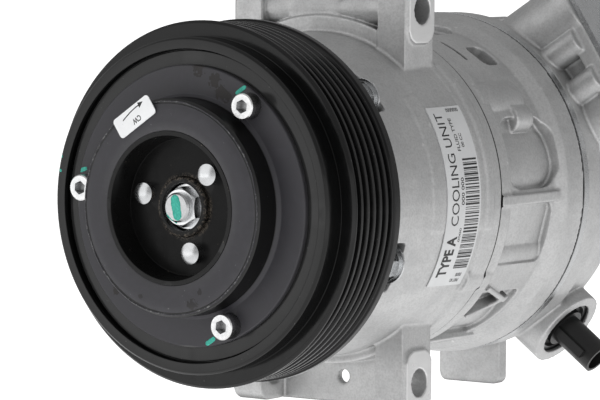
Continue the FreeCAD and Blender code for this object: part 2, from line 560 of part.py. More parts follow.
def port_bores():
    return [
        upright(6.0, 42, 51, SUCTION_X, PORT_Y),
        upright(SUCTION_R, 50, PORT_FACE + 1, SUCTION_X, PORT_Y),
        upright(SUCTION_R + 2.5, PORT_FACE - 3, PORT_FACE + 1, SUCTION_X, PORT_Y),
        upright(DISCHARGE_R, 45, PORT_FACE + 1, DISCHARGE_X, PORT_Y),
        upright(3.2, 25, 46, DISCHARGE_X, PORT_Y),
        upright(DISCHARGE_R + 2.5, PORT_FACE - 3, PORT_FACE + 1, DISCHARGE_X, PORT_Y),
        upright(4.0, PORT_FACE - 22, PORT_FACE + 1, PORT_BOLT_X, PORT_Y)]


def rear_head():
    skin = revolved([
        (JOINT_HEAD, 0), (JOINT_HEAD, HEAD_R), (JOINT_HEAD + 9, HEAD_R), (JOINT_HEAD + 11, 58.6), (155, 57.6),
        (162, 55.5), (167, 51.0), (HEAD_BACK, 45.0), (HEAD_BACK, 0)])
    bosses = around(rod(8.5, JOINT_HEAD, HEAD_BACK - 6, BOLT_PITCH_R + 2.5), BOLT_COUNT, BOLT_DEG)
    lug = round_edges(box(-10.8, 14.8, 147.3, 152.5, -73.2, -40), 3.0,
                      lambda e: e.BoundBox.ZMax < -73.1 and e.BoundBox.YLength > 4)
    valve_boss = leaned(upright(VALVE_BOSS_R, -20, VALVE_FACE, VALVE_X, VALVE_Y), VALVE_TURN)
    ribs = [sector(30, 58.4, a, a + 3, HEAD_BACK - 14, HEAD_BACK - 2) for a in (10, 84, 154, 226, 298)]
    outside = fused([skin, lug, valve_boss] + bosses + ribs + [leaned(s, PORT_TURN) for s in port_block()])
    discharge = rod(33.0, JOINT_HEAD - 1, 147.0)
    suction = tube(52.5, 37.0, JOINT_HEAD - 1, 148.0).cut(
        around(rod(7.0, JOINT_HEAD - 2, 150, BOLT_PITCH_R), BOLT_COUNT, BOLT_DEG))
    cuts = [discharge, suction] + [leaned(s, PORT_TURN) for s in port_bores()]
    body = outside.cut(cuts)
    sleeve = upright(VALVE_BOSS_R - 1, -34, VALVE_FACE - 1, VALVE_X, VALVE_Y)
    inside = leaned(sleeve, VALVE_TURN).common(skin)
    bore = [upright(VALVE_BORE_R, -30, VALVE_FACE + 1, VALVE_X, VALVE_Y),
            upright(VALVE_BORE_R + 1.2, VALVE_FACE - 3.0, VALVE_FACE - 1.6, VALVE_X, VALVE_Y)]
    holes = around(rod(BOLT_R, JOINT_HEAD - 1, 158.0, BOLT_PITCH_R), BOLT_COUNT, BOLT_DEG)
    holes.append(rod(6.0, 157, HEAD_BACK + 5, RELIEF_X, RELIEF_Z))
    return fused([body, inside]).cut([leaned(s, VALVE_TURN) for s in bore] + holes)


# ---------------------------------------------------------------- pieces on the rear head
def port_cover():
    plate = box(FLANGE_LEFT + 1, FLANGE_RIGHT - 1, PORT_Y - 13.5, PORT_Y + 13.5, PORT_FACE, PORT_FACE + 2.0)
    plate = round_edges(plate, 6.0, lambda e: e.BoundBox.ZLength > 1.5)
    save("port_cover", leaned(plate.cut(upright(4.4, 60, 90, PORT_BOLT_X, PORT_Y)), PORT_TURN))
    seals = []
    for x, radius in ((SUCTION_X, SUCTION_R), (DISCHARGE_X, DISCHARGE_R)):
        ring = upright(radius + 2.5, PORT_FACE - 3, PORT_FACE, x, PORT_Y)
        seals.append(leaned(ring.cut(upright(radius, 60, 90, x, PORT_Y)), PORT_TURN))
    save("port_seals", *seals)
    top = PORT_FACE + 2.0
    bolt = [upright(4.0, PORT_FACE - 16, top, PORT_BOLT_X, PORT_Y), upright(9.0, top, top + 1.6, PORT_BOLT_X, PORT_Y)]
    head = hexagon(13.0, 0, 6.4)
    head.rotate(ORIGIN, Vector(1, 0, 0), 90)
    head.translate(Vector(PORT_BOLT_X, PORT_Y, top + 1.6))
    save("port_cover_bolt", leaned(fused(bolt + [head]), PORT_TURN))


def check_valve():
    """The valve in the discharge port that keeps high pressure from flowing back."""
    seat = upright(DISCHARGE_R, 56, 62, DISCHARGE_X, PORT_Y).cut(upright(4.2, 50, 70, DISCHARGE_X, PORT_Y))
    save("check_valve_seat", leaned(seat, PORT_TURN))
    poppet = fused([upright(5.6, 53.6, 55.9, DISCHARGE_X, PORT_Y), upright(2.0, 50.0, 54, DISCHARGE_X, PORT_Y)])
    save("check_valve_poppet", leaned(poppet, PORT_TURN))
    spring = coil(0.45, 4.0, 7.6, 4)
    spring.translate(Vector(DISCHARGE_X, PORT_Y, 45.5))
    save("check_valve_spring", leaned(spring, PORT_TURN))


def control_valve():
    """The solenoid valve that sets the crankcase pressure, in its bore."""
    shell = upright(VALVE_BORE_R - 0.1, -28, 50, VALVE_X, VALVE_Y)
    hollow = [upright(3.0, -24, 30, VALVE_X, VALVE_Y), upright(6.0, 8, 28, VALVE_X, VALVE_Y)]
    grooves = [upright(12, z, z + 2.2, VALVE_X, VALVE_Y).cut(upright(VALVE_BORE_R - 1.8, z - 1, z + 3, VALVE_X, VALVE_Y))
               for z in (-20, -8, 4, 30)]
    save("control_valve", leaned(shell.cut(hollow + grooves), VALVE_TURN))
    rings = [upright(VALVE_BORE_R, z + 0.1, z + 2.1, VALVE_X, VALVE_Y).cut(
        upright(VALVE_BORE_R - 1.8, z - 1, z + 3, VALVE_X, VALVE_Y)) for z in (-20, -8, 4, 30)]
    save("control_valve_o_rings", *[leaned(r, VALVE_TURN) for r in rings])
    plunger = [upright(2.6, -20, 22, VALVE_X, VALVE_Y), upright(5.6, 12, 22, VALVE_X, VALVE_Y)]
    save("control_valve_plunger", leaned(fused(plunger), VALVE_TURN))
    clip = upright(VALVE_BORE_R + 1.1, VALVE_FACE - 2.9, VALVE_FACE - 1.7, VALVE_X, VALVE_Y)
    clip = clip.cut([upright(VALVE_BORE_R - 1.4, 50, 70, VALVE_X, VALVE_Y), box(VALVE_X - 4, VALVE_X + 4, VALVE_Y - 20,
                     VALVE_Y - 3, 50, 70)])
    eyes = [upright(1.9, VALVE_FACE - 2.9, VALVE_FACE - 1.7, VALVE_X + x, VALVE_Y - 8.2).cut(
        upright(0.9, 50, 70, VALVE_X + x, VALVE_Y - 8.2)) for x in (-5.4, 5.4)]
    save("control_valve_circlip", leaned(fused([clip] + eyes), VALVE_TURN))


def valve_connector():
    """The solenoid's cap and the plug socket that stands out of the bore, with its latch and keying rib."""
    seat = VALVE_FACE - 3.0
    pieces = [
        upright(VALVE_BORE_R - 0.6, 50, seat, VALVE_X, VALVE_Y),
        upright(7.4, 50, seat + 2.4, VALVE_X, VALVE_Y),
        upright(PLUG_R, 50, PLUG_END, VALVE_X, VALVE_Y),
        box(VALVE_X - 1.6, VALVE_X + 1.6, VALVE_Y - PLUG_R - 1.6, VALVE_Y, seat + 2.4, PLUG_END - 3.5),
        box(VALVE_X - 2.4, VALVE_X + 2.4, VALVE_Y, VALVE_Y + PLUG_R + 1.2, seat + 2.4, PLUG_END - 6.0)]
    floor = PLUG_END - SOCKET_DEPTH
    socket = upright(SOCKET_R, floor, PLUG_END + 1, VALVE_X, VALVE_Y)
    pins = [upright(0.7, floor - 3, floor + 5, VALVE_X + x, VALVE_Y) for x in (-1.9, 1.9)]
    save("valve_connector", leaned(fused(pieces).cut([socket] + pins), VALVE_TURN))
    save("connector_pins", *[leaned(pin, VALVE_TURN) for pin in pins])


def relief_valve():
    """A hexagonal pressure relief valve in the back of the head."""
    body = [rod(6.0, 158, HEAD_BACK, RELIEF_X, RELIEF_Z), rod(8.0, HEAD_BACK, HEAD_BACK + 1.5, RELIEF_X, RELIEF_Z)]
    head = hexagon(14.0, HEAD_BACK + 1.5, HEAD_BACK + 8.0)
    head.translate(Vector(RELIEF_X, 0, RELIEF_Z))
    bore = rod(2.2, HEAD_BACK - 4, HEAD_BACK + 9, RELIEF_X, RELIEF_Z)
    save("relief_valve", fused(body + [head]).cut(bore))


# ---------------------------------------------------------------- everything else
def shaft_seal():
    lip = revolved([(-4.0, SHAFT_R + 0.05), (-4.0, 13.5), (7.0, 13.5), (7.0, 11.5), (2.5, 11.5), (2.5, 9.6),
                    (5.0, 8.8), (5.0, SHAFT_R + 0.05), (3.0, SHAFT_R + 0.05), (1.0, 9.4), (-3.0, 9.4),
                    (-3.0, SHAFT_R + 0.05)])
    save("shaft_seal", lip)
    clip = tube(14.4, 11.8, -5.3, -4.0).cut(box(5, 20, -8, 0, -2.5, 2.5))
    save("shaft_seal_clip", clip)


def through_bolts():
    flange = rod(6.3, POCKET_FLOOR - 2.2, POCKET_FLOOR - 1.0, BOLT_PITCH_R)
    head = hexagon(10.0, POCKET_FLOOR - BOLT_HEAD, POCKET_FLOOR - 2.2, BOLT_PITCH_R)
    crown = rod(5.6, POCKET_FLOOR - BOLT_HEAD, POCKET_FLOOR - 2.2, BOLT_PITCH_R)
    crown = crown.makeChamfer(0.7, [e for e in crown.Edges if e.BoundBox.YMax < POCKET_FLOOR - BOLT_HEAD + 0.1])
    shank = rod(BOLT_R, POCKET_FLOOR - 2.0, 155.0, BOLT_PITCH_R)
    washer = rod(7.2, POCKET_FLOOR - 1.0, POCKET_FLOOR, BOLT_PITCH_R).cut(rod(BOLT_R, 0, 60, BOLT_PITCH_R))
    bolt = fused([flange, head.common(crown), shank])
    save("through_bolts", *around(bolt, BOLT_COUNT, BOLT_DEG))
    save("bolt_washers", *around(washer, BOLT_COUNT, BOLT_DEG))


def type_label():
    """The curved sticker on the right of the front housing."""
    gap, film = 0.06, 0.3
    inner = [(49.3, 54.7 + gap), (66.0, 55.3 + gap), (LABEL_REAR, 55.39 + gap)]
    outer = [(y, r + film) for y, r in reversed(inner)]
    return revolved(inner + outer).common(sector(40, 70, LABEL_LOW_DEG, LABEL_HIGH_DEG, 49.0, 72.0))


save("pulley", pulley())
pulley_bearing()
damped_hub()
rotating_group()
pistons()
save("front_housing", front_housing())
save("cylinder_block", cylinder_block())
valve_stack()
save("rear_head", rear_head())
port_cover()
check_valve()
control_valve()
valve_connector()
relief_valve()
shaft_seal()
through_bolts()
save("type_label", type_label())
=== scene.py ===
"""Looks of the belt-driven swash-plate compressor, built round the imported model."""
import json
import math
import random

import bmesh
import bpy
from mathutils import Matrix, Vector, noise
from mathutils.bvhtree import BVHTree


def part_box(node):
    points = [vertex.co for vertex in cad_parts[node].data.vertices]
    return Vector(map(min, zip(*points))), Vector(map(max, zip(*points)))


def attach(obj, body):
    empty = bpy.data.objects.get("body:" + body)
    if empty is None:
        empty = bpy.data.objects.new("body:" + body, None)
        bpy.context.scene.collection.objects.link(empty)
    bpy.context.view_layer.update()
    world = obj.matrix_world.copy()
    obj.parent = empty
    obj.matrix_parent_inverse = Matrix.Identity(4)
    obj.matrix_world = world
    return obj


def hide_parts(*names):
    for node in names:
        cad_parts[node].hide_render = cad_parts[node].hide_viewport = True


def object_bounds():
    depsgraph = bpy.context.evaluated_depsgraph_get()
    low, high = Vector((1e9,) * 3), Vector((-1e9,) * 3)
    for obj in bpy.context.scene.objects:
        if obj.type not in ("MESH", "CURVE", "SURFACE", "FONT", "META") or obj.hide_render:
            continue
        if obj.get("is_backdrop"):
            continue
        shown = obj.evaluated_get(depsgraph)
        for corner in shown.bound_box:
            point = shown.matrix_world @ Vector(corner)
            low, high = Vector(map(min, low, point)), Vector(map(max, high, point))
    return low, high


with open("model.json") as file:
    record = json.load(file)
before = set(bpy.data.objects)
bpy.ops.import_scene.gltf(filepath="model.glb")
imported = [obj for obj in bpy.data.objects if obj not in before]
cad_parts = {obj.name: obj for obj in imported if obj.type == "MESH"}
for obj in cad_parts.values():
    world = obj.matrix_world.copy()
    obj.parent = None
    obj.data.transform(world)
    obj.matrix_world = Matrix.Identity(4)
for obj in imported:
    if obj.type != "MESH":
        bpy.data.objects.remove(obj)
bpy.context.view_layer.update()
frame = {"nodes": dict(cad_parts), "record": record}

MM = 0.001
nodes = frame["nodes"]

# The photograph's view: angles in degrees, distances in metres
VIEW_AZIMUTH, VIEW_ELEVATION, VIEW_ROLL = 34.92, 4.24, 0.35
VIEW_DISTANCE, VIEW_LENS = 1.210, 223.7
VIEW_TARGET = Vector((0.02604, 0.00565, 0.00185))

EAR_FACE_X = 36.0 * MM
EAR_START_Z, EAR_END_Y = 47.5 * MM, 74.0 * MM
SEAM_Y, SEAM_REACH = 80.7 * MM, 57.0 * MM
SCREW_TOP = -24.7 * MM
FLASH_FACE = -30.05 * MM
FLASH_RADIUS = 34.35
SHAFT_END_Y, BOLT_HEAD_Y = -26.7 * MM, 25.3 * MM
LABEL_RADIUS = 55.4
STICKER_LEAN = math.radians(34.0)
# Gaps and thickness of printing on a film, in metres
PRINT_LIFT, PRINT_THICK = 0.008 * MM, 0.03 * MM
# Cast nodes: body, cell size in mm, rounds of relaxing, share of faces kept
CASTINGS = (
    ("front_housing", "casing", 0.45, 3, 0.25),
    ("cylinder_block", "casing", 0.42, 3, 0.22),
    ("rear_head", "casing", 0.45, 4, 0.25),
)
# Raised steps on the front housing: from and to along the shaft in mm, from and to in degrees, rise in mm
HOUSING_PADS = ((69.3, 75.7, -10.5, 52.0, 0.45), (43.5, 48.9, -10.5, 40.0, 0.40))
# Edge breaks in mm
SOFT_EDGES = (
    ("pulley", 0.22), ("drive_plate", 0.25), ("damper_rubber", 0.25), ("inner_cup", 0.2), ("hub_boss", 0.2),
    ("hub_nut", 0.15), ("through_bolts", 0.25),
    ("bolt_washers", 0.15), ("port_cover", 0.3), ("port_cover_bolt", 0.25), ("valve_connector", 0.25),
    ("valve_plate", 0.1),
)
# Marks on the hub's face in mm: x, z and size
HUB_STAINS = ((9.8, 40.8, 2.1), (13.6, 37.2, 2.4), (3.8, 44.6, 2.0), (-30.0, -29.0, 1.2))
RUBBER_STAINS = ((9.8, -30.5, 1.7), (12.5, -26.0, 0.9), (-11.0, -29.0, 0.8))
# Paint dots on two through bolts' heads, in mm: from x, z to x, z
BOLT_DOTS = ((32.0, 36.6, 33.6, 35.4), (42.6, -17.0, 44.0, -15.6))
# Paint strokes on the hub's face, in mm: from x, z to x, z, and width
STROKES = (
    (18.4, 36.9, 22.4, 39.5, 1.4), (-45.4, 9.5, -41.8, 10.6, 1.4), (7.0, -44.4, 10.7, -42.0, 1.6),
    (-52.3, 14.6, -52.4, 13.6, 0.9), (-52.8, 9.9, -52.7, 8.9, 0.9),
)


# ---------------------------------------------------------------- camera, light and floor
def camera():
    a, e = math.radians(VIEW_AZIMUTH), math.radians(VIEW_ELEVATION)
    back = Vector((math.sin(a) * math.cos(e), -math.cos(a) * math.cos(e), math.sin(e)))
    data = bpy.data.cameras.new("camera")
    data.lens = VIEW_LENS
    data.sensor_width = 36.0
    data.clip_start = 0.05
    data.clip_end = 50.0
    eye = bpy.data.objects.new("camera", data)
    bpy.context.scene.collection.objects.link(eye)
    eye.location = VIEW_TARGET + back * VIEW_DISTANCE
    turn = (-back).to_track_quat("-Z", "Y").to_matrix().to_4x4()
    roll = Matrix.Rotation(math.radians(VIEW_ROLL), 4, "Z")
    eye.matrix_world = Matrix.Translation(eye.location) @ turn @ roll
    bpy.context.scene.camera = eye


def soft_light(name, place, aim, width, height, watts):
    data = bpy.data.lights.new(name, "AREA")
    data.shape = "RECTANGLE"
    data.size, data.size_y = width, height
    data.energy = watts
    lamp = bpy.data.objects.new(name, data)
    bpy.context.scene.collection.objects.link(lamp)
    lamp.location = place
    lamp.rotation_euler = (Vector(aim) - Vector(place)).to_track_quat("-Z", "Y").to_euler()
    lamp.visible_camera = False


def studio():
    """A white sweep: the camera sees white, and the part is lit by a soft room and three large lamps."""
    scene = bpy.context.scene
    scene.view_settings.view_transform = "Standard"
    world = bpy.data.worlds.new("studio")
    scene.world = world
    world.use_nodes = True
    tree = world.node_tree
    tree.nodes.clear()
    out = tree.nodes.new("ShaderNodeOutputWorld")
    mix = tree.nodes.new("ShaderNodeMixShader")
    seen = tree.nodes.new("ShaderNodeBackground")
    room = tree.nodes.new("ShaderNodeBackground")
    path = tree.nodes.new("ShaderNodeLightPath")
    place = tree.nodes.new("ShaderNodeTexCoord")
    split = tree.nodes.new("ShaderNodeSeparateXYZ")
    height = tree.nodes.new("ShaderNodeMapRange")
    ramp = tree.nodes.new("ShaderNodeValToRGB")
    seen.inputs["Color"].default_value = (1, 1, 1, 1)
    seen.inputs["Strength"].default_value = 1.05
    height.inputs["From Min"].default_value = -1.0
    height.inputs["From Max"].default_value = 1.0
    levels = ((0.0, 1.0), (0.30, 1.0), (0.42, 0.80), (0.52, 0.37), (0.70, 0.31), (1.0, 0.42))
    ramp.color_ramp.elements[0].position = levels[0][0]
    ramp.color_ramp.elements[0].color = (levels[0][1],) * 3 + (1,)
    ramp.color_ramp.elements[1].position = levels[-1][0]
    ramp.color_ramp.elements[1].color = (levels[-1][1],) * 3 + (1,)
    for position, level in levels[1:-1]:
        stop = ramp.color_ramp.elements.new(position)
        stop.color = (level, level, level, 1)
    link = tree.links.new
    link(place.outputs["Generated"], split.inputs[0])
    link(split.outputs["Z"], height.inputs["Value"])
    link(height.outputs["Result"], ramp.inputs["Fac"])
    link(ramp.outputs["Color"], room.inputs["Color"])
    link(path.outputs["Is Camera Ray"], mix.inputs["Fac"])
    link(room.outputs[0], mix.inputs[1])
    link(seen.outputs[0], mix.inputs[2])
    link(mix.outputs[0], out.inputs["Surface"])
    soft_light("front_light", (-1.05, -1.15, 0.45), (0, 0, 0), 1.7, 1.7, 6.4)
    soft_light("right_light", (1.3, -0.1, 0.5), (0, 0.05, 0), 1.2, 1.2, 0.5)
    soft_light("low_light", (0.7, -0.6, -0.02), (0.03, 0.06, -0.03), 1.0, 0.5, 0.8)


def floor():
    low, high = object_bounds()
    mesh = bpy.data.meshes.new("floor")
    size = 6.0
    corners = [(-size, -size, 0), (size, -size, 0), (size, size, 0), (-size, size, 0)]
    mesh.from_pydata(corners, [], [(0, 1, 2, 3)])
    sweep = bpy.data.objects.new("floor", mesh)
    bpy.context.scene.collection.objects.link(sweep)
    sweep.location.z = low.z - 0.001
    paint = bpy.data.materials.new("floor_white")
    paint.use_nodes = True
    shader = paint.node_tree.nodes["Principled BSDF"]
    shader.inputs["Base Color"].default_value = (0.9, 0.9, 0.9, 1)
    shader.inputs["Roughness"].default_value = 0.9
    shader.inputs["Emission Color"].default_value = (1, 1, 1, 1)
    shader.inputs["Emission Strength"].default_value = 0.95
    mesh.materials.append(paint)
    sweep.visible_glossy = False
    sweep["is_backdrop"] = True


camera()
studio()
floor()


# ---------------------------------------------------------------- materials
class Paint:
    """One material: a Principled shader with short ways to add the nodes that drive it."""

    def __init__(self, name, **settings):
        self.material = bpy.data.materials.new(name)
        self.material.use_nodes = True
        self.tree = self.material.node_tree
        self.tree.nodes.clear()
        self.shader = self.tree.nodes.new("ShaderNodeBsdfPrincipled")
        out = self.tree.nodes.new("ShaderNodeOutputMaterial")
        self.link(self.shader.outputs[0], out.inputs["Surface"])
        self.place = self.tree.nodes.new("ShaderNodeTexCoord").outputs["Object"]
        for socket, value in settings.items():
            self.shader.inputs[socket.replace("_", " ")].default_value = value

    def link(self, source, target):
        self.tree.links.new(source, target)

    def feed(self, node, socket, value):
        """Links a socket to a node's output, or sets it to a plain value."""
        if isinstance(value, bpy.types.NodeSocket):
            self.link(value, node.inputs[socket])
        else:
            node.inputs[socket].default_value = value

    def noise(self, size_mm, detail=3.0, distortion=0.0, place=None):
        """Noise with features of about this size."""
        node = self.tree.nodes.new("ShaderNodeTexNoise")
        node.inputs["Scale"].default_value = 1.0 / (size_mm * MM)
        node.inputs["Detail"].default_value = detail
        node.inputs["Distortion"].default_value = distortion
        self.link(place or self.place, node.inputs["Vector"])
        return node.outputs["Fac"]

    def spread(self, value, low, high, out_low=0.0, out_high=1.0):
        """Maps low..high of a value onto another range, with smooth ends."""
        node = self.tree.nodes.new("ShaderNodeMapRange")
        node.interpolation_type = "SMOOTHSTEP"
        self.feed(node, "Value", value)
        node.inputs["From Min"].default_value = low
        node.inputs["From Max"].default_value = high
        node.inputs["To Min"].default_value = out_low
        node.inputs["To Max"].default_value = out_high
        return node.outputs["Result"]

    def sum(self, operation, a, b=0.0):
        node = self.tree.nodes.new("ShaderNodeMath")
        node.operation = operation
        self.feed(node, 0, a)
        self.feed(node, 1, b)
        return node.outputs[0]

    def mix(self, factor, a, b):
        """A colour between a and b."""
        node = self.tree.nodes.new("ShaderNodeMix")
        node.data_type = "RGBA"
        self.feed(node, 0, factor)
        self.feed(node, 6, a)
        self.feed(node, 7, b)
        return node.outputs[2]

    def axis(self, name):
        node = self.tree.nodes.new("ShaderNodeSeparateXYZ")
        self.link(self.place, node.inputs[0])
        return node.outputs[name]

    def radius(self):
        """Distance from the shaft's axis."""
        split = self.tree.nodes.new("ShaderNodeSeparateXYZ")
        self.link(self.place, split.inputs[0])
        across = self.sum("MULTIPLY", split.outputs["X"], split.outputs["X"])
        up = self.sum("MULTIPLY", split.outputs["Z"], split.outputs["Z"])
        return self.sum("SQRT", self.sum("ADD", across, up))

    def spot(self, x, z, size):
        """1 inside a ragged blot round a point of the hub's face."""
        split = self.tree.nodes.new("ShaderNodeSeparateXYZ")
        self.link(self.place, split.inputs[0])
        across = self.sum("SUBTRACT", split.outputs["X"], x)
        up = self.sum("SUBTRACT", split.outputs["Z"], z)
        reach = self.sum("ADD", self.sum("MULTIPLY", across, across), self.sum("MULTIPLY", up, up))
        reach_factor = self.spread(self.noise(2.4, 3.0, 1.2), 0.35, 0.65, 2.2, 0.15)
        ragged = self.sum("MULTIPLY", reach_factor, size * size)
        return self.sum("LESS_THAN", reach, ragged)

    def corner_shade(self, reach_mm):
        """An occlusion mask, 0 deep in a corner and 1 on open skin, for painting shade into corners."""
        node = self.tree.nodes.new("ShaderNodeAmbientOcclusion")
        node.samples = 6
        node.inputs["Distance"].default_value = reach_mm * MM
        return self.spread(node.outputs["AO"], 0.15, 0.85)

    def edges(self, low=0.505, high=0.56):
        """1 on sharp outer edges and 0 elsewhere."""
        node = self.tree.nodes.new("ShaderNodeNewGeometry")
        return self.spread(node.outputs["Pointiness"], low, high)

    def bump(self, height, depth_mm, strength=1.0, below=None):
        node = self.tree.nodes.new("ShaderNodeBump")
        node.inputs["Strength"].default_value = strength
        node.inputs["Distance"].default_value = depth_mm * MM
        self.link(height, node.inputs["Height"])
        if below:
            self.link(below, node.inputs["Normal"])
        return node.outputs["Normal"]

    def surface(self, colour=None, roughness=None, normal=None):
        for socket, value in (("Base Color", colour), ("Roughness", roughness), ("Normal", normal)):
            if value is not None:
                self.feed(self.shader, socket, value)
        return self.material


def grey(level, tint=0.0):
    return (level * (1 - tint), level, level * (1 + tint), 1.0)


def charcoal(level):
    """A dark grey that leans to blue, as the coated hub does."""
    return (level * 1.01, level * 0.98, level * 1.13, 1.0)


def cast_aluminium():
    """Blasted die casting, with the mounting ears' end faces machined bright and painted shade in its
    corners.
    """
    paint = Paint("cast_aluminium", Metallic=0.80, IOR=1.5)
    cloud = paint.noise(22.0, 4.0, 0.6)
    grain = paint.noise(0.7, 4.0)
    flow = paint.noise(7.0, 5.0, 0.5)
    base = paint.mix(paint.spread(cloud, 0.3, 0.7), grey(0.56, 0.004), grey(0.64, 0.002))
    base = paint.mix(paint.spread(flow, 0.35, 0.75, 0.0, 0.5), base, grey(0.66, -0.003))
    base = paint.mix(paint.spread(grain, 0.35, 0.7, 0.0, 0.30), base, grey(0.36))
    base = paint.mix(paint.spread(paint.noise(1.8, 4.0, 0.4), 0.5, 0.75, 0.0, 0.25), base, grey(0.42))
    base = paint.mix(paint.edges(0.52, 0.62), base, grey(0.70))
    # Painted shade: occlusion darkens corners and crevices towards grey 0.16, standing for shadow and some
    # grime.
    base = paint.mix(paint.corner_shade(5.0), grey(0.16), base)
    across = paint.sum("ABSOLUTE", paint.axis("X"))
    milled = paint.spread(across, EAR_FACE_X - 0.3 * MM, EAR_FACE_X - 0.15 * MM)
    outlying = paint.spread(paint.sum("ABSOLUTE", paint.axis("Z")), EAR_START_Z, EAR_START_Z + 0.5 * MM)
    ahead = paint.spread(paint.axis("Y"), EAR_END_Y, EAR_END_Y - 0.5 * MM)
    milled = paint.sum("MULTIPLY", milled, paint.sum("MULTIPLY", outlying, ahead))
    base = paint.mix(milled, base, grey(0.80))
    gap = paint.sum("ABSOLUTE", paint.sum("SUBTRACT", paint.axis("Y"), SEAM_Y))
    within = paint.spread(paint.radius(), SEAM_REACH, SEAM_REACH - 0.2 * MM)
    seam = paint.sum("MULTIPLY", paint.spread(gap, 0.75 * MM, 0.55 * MM), within)
    base = paint.mix(seam, base, grey(0.02))
    rough = paint.spread(paint.noise(6.0, 3.0), 0.3, 0.7, 0.42, 0.54)
    rough = paint.sum("MULTIPLY", rough, paint.spread(milled, 0.0, 1.0, 1.0, 0.65))
    normal = paint.bump(grain, 0.08, 0.7)
    normal = paint.bump(paint.noise(3.0, 3.0), 0.14, 0.45, normal)
    return paint.surface(base, rough, normal)


def black_finish(name, level, rough_low, rough_high, grain_mm, depth_mm, dust=0.58, edge=0.05):
    """Black paint, coating or rubber with dust specks, faint scuffs and rubbed edges."""
    paint = Paint(name, IOR=1.45, Specular_IOR_Level=0.38)
    grain = paint.noise(grain_mm, 3.0)
    scuff = paint.noise(9.0, 6.0, 2.5)
    specks = paint.spread(paint.noise(0.9, 1.0), 0.765, 0.81, 0.0, dust)
    base = paint.mix(paint.spread(scuff, 0.45, 0.75), grey(level, 0.03), grey(level * 1.2, 0.03))
    base = paint.mix(paint.edges(), base, grey(edge))
    base = paint.mix(specks, base, grey(0.20))
    rough = paint.spread(scuff, 0.35, 0.75, rough_low, rough_high)
    return paint.surface(base, rough, paint.bump(grain, depth_mm, 0.5))


def hub_finish():
    """The drive plate: a matte coated face with oil smudges, and a glossier black wall round the shell whose
    near-black colour is painted shade.
    """
    paint = Paint("hub_black", IOR=1.45)
    radius = paint.radius()
    depth = paint.axis("Y")
    scuff = paint.noise(9.0, 6.0, 2.5)
    wall = paint.sum("MULTIPLY", paint.spread(radius, 0.0357, 0.0353), paint.spread(depth, -0.0201, -0.0204))
    face = paint.mix(paint.spread(scuff, 0.45, 0.75), charcoal(0.040), charcoal(0.047))
    for x, z, size in HUB_STAINS:
        stain = paint.spot(x * MM, z * MM, size * MM)
        face = paint.mix(paint.sum("MULTIPLY", stain, 0.8), face, (0.014, 0.011, 0.009, 1))
    # Painted shade: the shell's side wall is darkened to near black; its lower roughness below is a real
    # glossier finish.
    base = paint.mix(wall, face, grey(0.004))
    base = paint.mix(paint.edges(0.51, 0.57), base, grey(0.085))
    base = paint.mix(paint.spread(paint.noise(0.9, 1.0), 0.765, 0.81, 0.0, 0.4), base, grey(0.20))
    rough = paint.spread(scuff, 0.35, 0.75, 0.46, 0.56)
    rough = paint.sum("MULTIPLY", rough, paint.spread(wall, 0.0, 1.0, 1.0, 0.6))
    return paint.surface(base, rough, paint.bump(paint.noise(0.35, 3.0), 0.018, 0.5))


def rubber_finish():
    """The damper rubber, dull and dusty, with a smudge or two."""
    paint = Paint("damper_rubber", IOR=1.45)
    scuff = paint.noise(7.0, 6.0, 2.0)
    base = paint.mix(paint.spread(scuff, 0.4, 0.75), charcoal(0.038), charcoal(0.047))
    for x, z, size in RUBBER_STAINS:
        stain = paint.spot(x * MM, z * MM, size * MM)
        base = paint.mix(paint.sum("MULTIPLY", stain, 0.7), base, (0.014, 0.012, 0.011, 1))
    base = paint.mix(paint.edges(0.51, 0.57), base, grey(0.10))
    base = paint.mix(paint.spread(paint.noise(0.8, 1.0), 0.76, 0.80, 0.0, 0.5), base, grey(0.26))
    rough = paint.spread(scuff, 0.35, 0.75, 0.52, 0.62)
    return paint.surface(base, rough, paint.bump(paint.noise(0.30, 3.0), 0.022, 0.5))


def torn_rubber():
    """The damper's moulding flash: dusty, whitened where it tore."""
    paint = Paint("torn_rubber", IOR=1.45)
    torn = paint.spread(paint.noise(1.1, 5.0, 1.0), 0.50, 0.66)
    base = paint.mix(torn, charcoal(0.040), grey(0.17))
    return paint.surface(base, paint.spread(paint.noise(1.0), 0.3, 0.7, 0.5, 0.65),
                         paint.bump(paint.noise(0.5, 4.0), 0.05, 0.7))


def cup_finish():
    """The inner cup: gloss black, with a broken ring of painted highlight round the collar."""
    paint = Paint("cup_black", IOR=1.42, Specular_IOR_Level=0.17)
    radius = paint.radius()
    ring = paint.sum("MULTIPLY", paint.spread(radius, 0.0084, 0.0091), paint.spread(radius, 0.0114, 0.0102))
    highlight_breakup = paint.spread(paint.noise(1.6, 6.0, 3.0), 0.49, 0.58)
    base = paint.mix(paint.noise(6.0), grey(0.0045), grey(0.0075))
    # Painted highlight: a broken light ring round the collar, where the cup's floor meets its wall.
    base = paint.mix(paint.sum("MULTIPLY", ring, highlight_breakup), base, (0.13, 0.11, 0.09, 1))
    base = paint.mix(paint.edges(0.51, 0.57), base, grey(0.04))
    base = paint.mix(paint.spread(paint.noise(0.8, 1.0), 0.775, 0.81, 0.0, 0.5), base, (0.22, 0.19, 0.15, 1))
    rough = paint.spread(paint.noise(5.0, 4.0), 0.35, 0.75, 0.26, 0.36)
    rough = paint.sum("ADD", rough, paint.sum("MULTIPLY", ring, 0.15))
    return paint.surface(base, rough, paint.bump(paint.noise(0.8, 3.0), 0.008, 0.5))


def bright_steel(name, level, rough_low, rough_high, tint=0.012):
    """Plated or ground steel."""
    paint = Paint(name, Metallic=1.0)
    stain = paint.noise(2.4, 4.0, 0.8)
    base = paint.mix(paint.spread(stain, 0.35, 0.75), grey(level, tint), grey(level * 0.9, tint))
    rough = paint.spread(paint.noise(0.8, 3.0), 0.3, 0.7, rough_low, rough_high)
    return paint.surface(base, rough, paint.bump(paint.noise(1.4), 0.002, 0.3))


